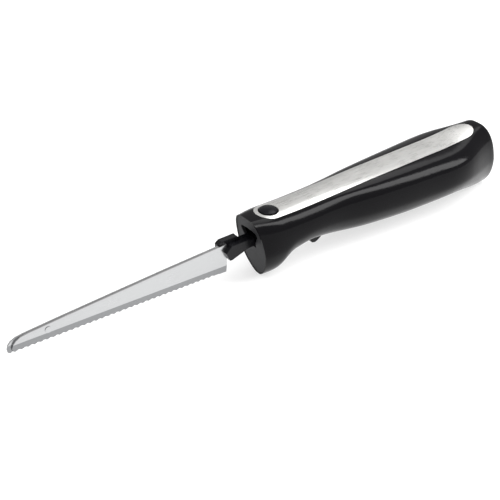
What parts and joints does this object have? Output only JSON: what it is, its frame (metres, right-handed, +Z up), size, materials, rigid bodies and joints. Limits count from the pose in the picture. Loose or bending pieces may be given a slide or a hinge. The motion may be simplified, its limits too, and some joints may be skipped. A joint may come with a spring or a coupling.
{
  "type": "electric knife",
  "caption": "Corded electric uncapping knife: twin scalloped blades that slide against each other, driven from a slim motor handle with trigger and release button.",
  "frame": {"origin": "centre of the bounding box seen from above, on the plane the knife stands on", "axes": "+X from the blade tips to the rear of the handle, +Z up from the cutting edge to the brushed top plate, -Y is the user's left"},
  "size_m": [0.4818, 0.0642, 0.0625],
  "materials": {
    "gloss_black": "glossy moulded",
    "face_grey": "matte moulded",
    "black_plastic": "satin moulded",
    "brushed_plate": "brushed along the handle",
    "blade_steel": "ground",
    "steel": "plain",
    "nylon": "natural moulded",
    "can_steel": "zinc plated",
    "grey_plastic": "moulded",
    "bronze": "sintered",
    "copper": "enamelled",
    "ferrite": "sintered",
    "core_iron": "laminated",
    "carbon": "pressed",
    "board_green": "lacquered",
    "component_black": "moulded",
    "component_yellow": "moulded"
  },
  "bodies": {
    "handle": {"left_shell": "gloss_black", "right_shell": "gloss_black", "front_plate": "face_grey", "inlay_plate": "brushed_plate", "button_guide": "nylon", "button_spring": "steel", "trigger_pin": "steel", "trigger_spring": "steel", "switch_body": "grey_plastic", "switch_terminals": "bronze", "slide_guide": "nylon", "gear_frame": "nylon", "axle_bushes": "bronze", "worm_bush": "bronze", "motor_can": "can_steel", "motor_end_cap": "grey_plastic", "field_magnets": "ferrite", "motor_bushes": "bronze", "motor_brushes": "carbon", "brush_holders": "grey_plastic", "brush_springs": "steel", "motor_screws": "steel", "rectifier_board": "board_green", "bridge_rectifier": "component_black", "suppressor_capacitor": "component_yellow", "board_terminals": "grey_plastic", "cord_gland": "black_plastic", "cord_clamp": "nylon", "clamp_screws": "steel", "housing_screws": "steel"},
    "rotor": {"motor_shaft": "steel", "worm": "steel", "rotor_core": "core_iron", "rotor_windings": "copper", "commutator": "copper", "cooling_fan": "nylon"},
    "wheel": {"worm_wheel": "nylon", "gear_axle": "steel", "left_cam": "nylon", "right_cam": "nylon"},
    "left_slide": {"left_carrier": "nylon", "left_latch": "steel"},
    "right_slide": {"right_carrier": "nylon", "right_latch": "steel"},
    "left_blade_set": {"left_blade": "blade_steel", "left_blade_holder": "black_plastic", "guide_rivet": "blade_steel"},
    "right_blade_set": {"right_blade": "blade_steel", "right_blade_holder": "black_plastic"},
    "button": {"release_button": "gloss_black", "button_foot": "nylon"},
    "trigger": {"trigger": "black_plastic"},
    "plunger": {"switch_plunger": "nylon"}
  },
  "joints": [
    {"name": "motor_turn", "type": "hinge", "parent": "handle", "child": "rotor", "pos_m": [0.13228, 0, 0.029], "axis": [1, 0, 0], "range_deg": [-2640, 960]},
    {"name": "wheel_turn", "type": "hinge", "parent": "handle", "child": "wheel", "pos_m": [0.07428, 0, 0.0425], "axis": [0, 1, 0], "range_deg": [-132.1, 48.1]},
    {"name": "left_stroke", "type": "slide", "parent": "handle", "child": "left_slide", "axis": [1, 0, 0], "range_m": [-0.00551, 0.00201]},
    {"name": "right_stroke", "type": "slide", "parent": "handle", "child": "right_slide", "axis": [1, 0, 0], "range_m": [-0.00201, 0.00551]},
    {"name": "left_blade_removal", "type": "slide", "parent": "left_slide", "child": "left_blade_set", "axis": [-1, 0, 0], "range_m": [0, 0.036], "deforming": ["left_latch"]},
    {"name": "right_blade_removal", "type": "slide", "parent": "right_slide", "child": "right_blade_set", "axis": [-1, 0, 0], "range_m": [0, 0.036], "deforming": ["right_latch"]},
    {"name": "button_press", "type": "slide", "parent": "handle", "child": "button", "axis": [0, 0, -1], "range_m": [0, 0.002], "stiffness_N_per_m": 900, "springref_m": -0.001, "deforming": ["button_spring", "left_latch", "right_latch"]},
    {"name": "trigger_squeeze", "type": "hinge", "parent": "handle", "child": "trigger", "pos_m": [0.02658, 0, 0.0225], "axis": [0, -1, 0], "range_deg": [0, 8], "stiffness_Nm_per_rad": 0.2, "springref_deg": -2.86, "deforming": ["trigger_spring"]},
    {"name": "plunger_slide", "type": "slide", "parent": "handle", "child": "plunger", "axis": [0, 0, 1], "range_m": [0, 0.00266]}
  ],
  "couplings": [
    {"joint": "wheel_turn", "follows": "motor_turn", "ratio": 0.05},
    {"joint": "left_stroke", "follows": "motor_turn", "m_per_rad": 0.00011937},
    {"joint": "right_stroke", "follows": "motor_turn", "m_per_rad": -0.00011937},
    {"joint": "right_blade_removal", "follows": "left_blade_removal", "ratio": 1},
    {"joint": "plunger_slide", "follows": "trigger_squeeze", "m_per_rad": 0.019}
  ]
}
